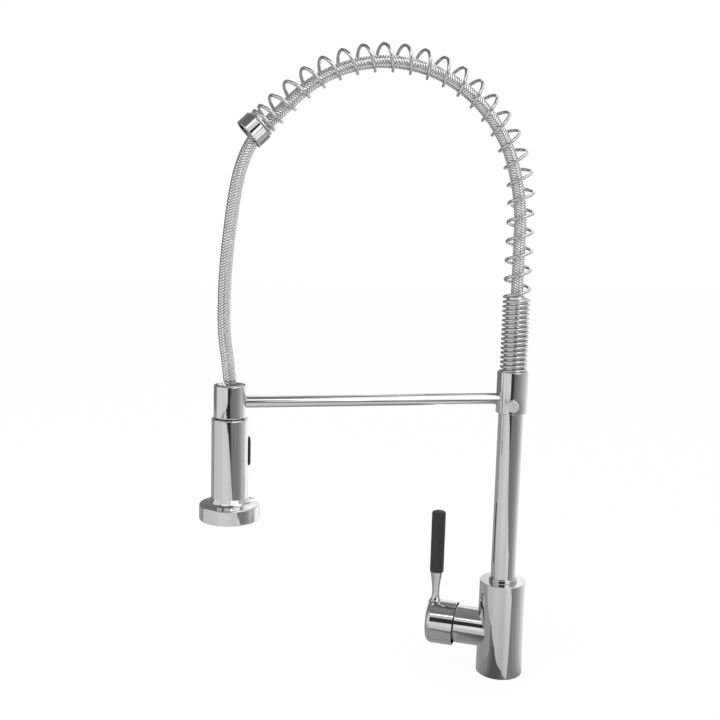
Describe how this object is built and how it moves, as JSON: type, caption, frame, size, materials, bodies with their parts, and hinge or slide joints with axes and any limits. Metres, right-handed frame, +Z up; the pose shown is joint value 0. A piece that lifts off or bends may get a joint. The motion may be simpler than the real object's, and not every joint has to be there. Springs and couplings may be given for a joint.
{
  "type": "spring-neck kitchen tap",
  "caption": "Tall kitchen mixer tap with a spring-wound hose arch, docked pull-down spray head on an arm, and a side lever with a black grip.",
  "frame": {"origin": "centre of the body's underside, on the worktop", "axes": "+Z up along the riser, -Y along the spout from the riser to the spray head"},
  "size_m": [0.0815, 0.324, 0.6074],
  "materials": {
    "chrome": "polished chrome plating on brass",
    "spring_wire": "polished spring steel wire",
    "steel": "turned stainless steel",
    "brass": "turned brass",
    "braid": "silver braided sleeve",
    "grip": "matte black, slightly soft",
    "black_plastic": "moulded black plastic",
    "white_plastic": "moulded natural acetal",
    "rubber": "moulded seal rubber",
    "ceramic": "ground alumina"
  },
  "bodies": {
    "base": {"body": "chrome", "base_gasket": "rubber", "swivel_washer": "white_plastic", "keeper_screw": "steel", "handle_sleeve": "chrome", "cartridge_housing": "white_plastic", "cartridge_seals": "rubber", "fixed_disc": "ceramic", "cartridge_nut": "chrome"},
    "carrier": {"stem_guide": "white_plastic", "stem_pin": "steel"},
    "lever": {"control_stem": "steel", "handle_hub": "chrome", "hub_set_screw": "steel", "index_plug": "black_plastic", "lever_neck": "chrome", "lever_grip": "grip"},
    "disc": {"moving_disc": "ceramic"},
    "spout": {"swivel_spigot": "chrome", "o_rings": "rubber", "riser": "chrome", "collar": "chrome", "lock_screw": "chrome", "holder_arm": "chrome", "holder_ring": "chrome", "holder_liner": "black_plastic", "spring_guide": "chrome", "spring": "spring_wire", "spring_ferrule": "chrome", "hose_tail": "brass", "hose_arch": "braid", "hose_drop": "braid"},
    "hose_end": {"hose_crimp": "steel", "hose_nipple": "chrome"},
    "spray_head": {"head_neck": "chrome", "hose_washer": "rubber", "swivel_nut": "brass", "check_valve": "white_plastic", "head_shell": "chrome", "head_bell": "chrome", "spray_face": "black_plastic", "nozzle_mat": "rubber", "aerator": "white_plastic", "water_core": "white_plastic", "button_pin": "steel"},
    "button": {"spray_button": "black_plastic"},
    "diverter": {"diverter_spool": "white_plastic"}
  },
  "joints": [
    {"name": "spout_swivel", "type": "hinge", "parent": "base", "child": "spout", "pos_m": [0, 0, 0], "axis": [0, 0, 1], "continuous": true},
    {"name": "head_pull", "type": "slide", "parent": "spout", "child": "hose_end", "axis": [0, 0, -1], "range_m": [0, 0.08], "stiffness_N_per_m": 80, "springref_m": -0.1, "deforming": ["hose_drop"]},
    {"name": "head_swivel", "type": "hinge", "parent": "hose_end", "child": "spray_head", "pos_m": [0, -0.2732, 0.265], "axis": [0, 0, 1], "continuous": true},
    {"name": "button_rock", "type": "hinge", "parent": "spray_head", "child": "button", "pos_m": [-0.00199, -0.26192, 0.233], "axis": [0.9848, 0.1736, 0], "range_deg": [-6, 6]},
    {"name": "diverter_slide", "type": "slide", "parent": "spray_head", "child": "diverter", "axis": [0, 0, 1], "range_m": [-0.00084, 0.00084]},
    {"name": "temperature", "type": "hinge", "parent": "base", "child": "carrier", "pos_m": [0, 0, 0.043], "axis": [-0.4848, -0.8746, 0], "range_deg": [-45, 45]},
    {"name": "lever_lift", "type": "hinge", "parent": "carrier", "child": "lever", "pos_m": [-0.01648, -0.02974, 0.043], "axis": [0.8746, -0.4848, 0], "range_deg": [0, 25]},
    {"name": "disc_slide", "type": "slide", "parent": "carrier", "child": "disc", "axis": [0, 0, 1], "range_m": [0, 0.00845]}
  ],
  "couplings": [
    {"joint": "button_rock", "follows": "diverter_slide", "rad_per_m": -124.22},
    {"joint": "disc_slide", "follows": "lever_lift", "m_per_rad": 0.019246}
  ]
}
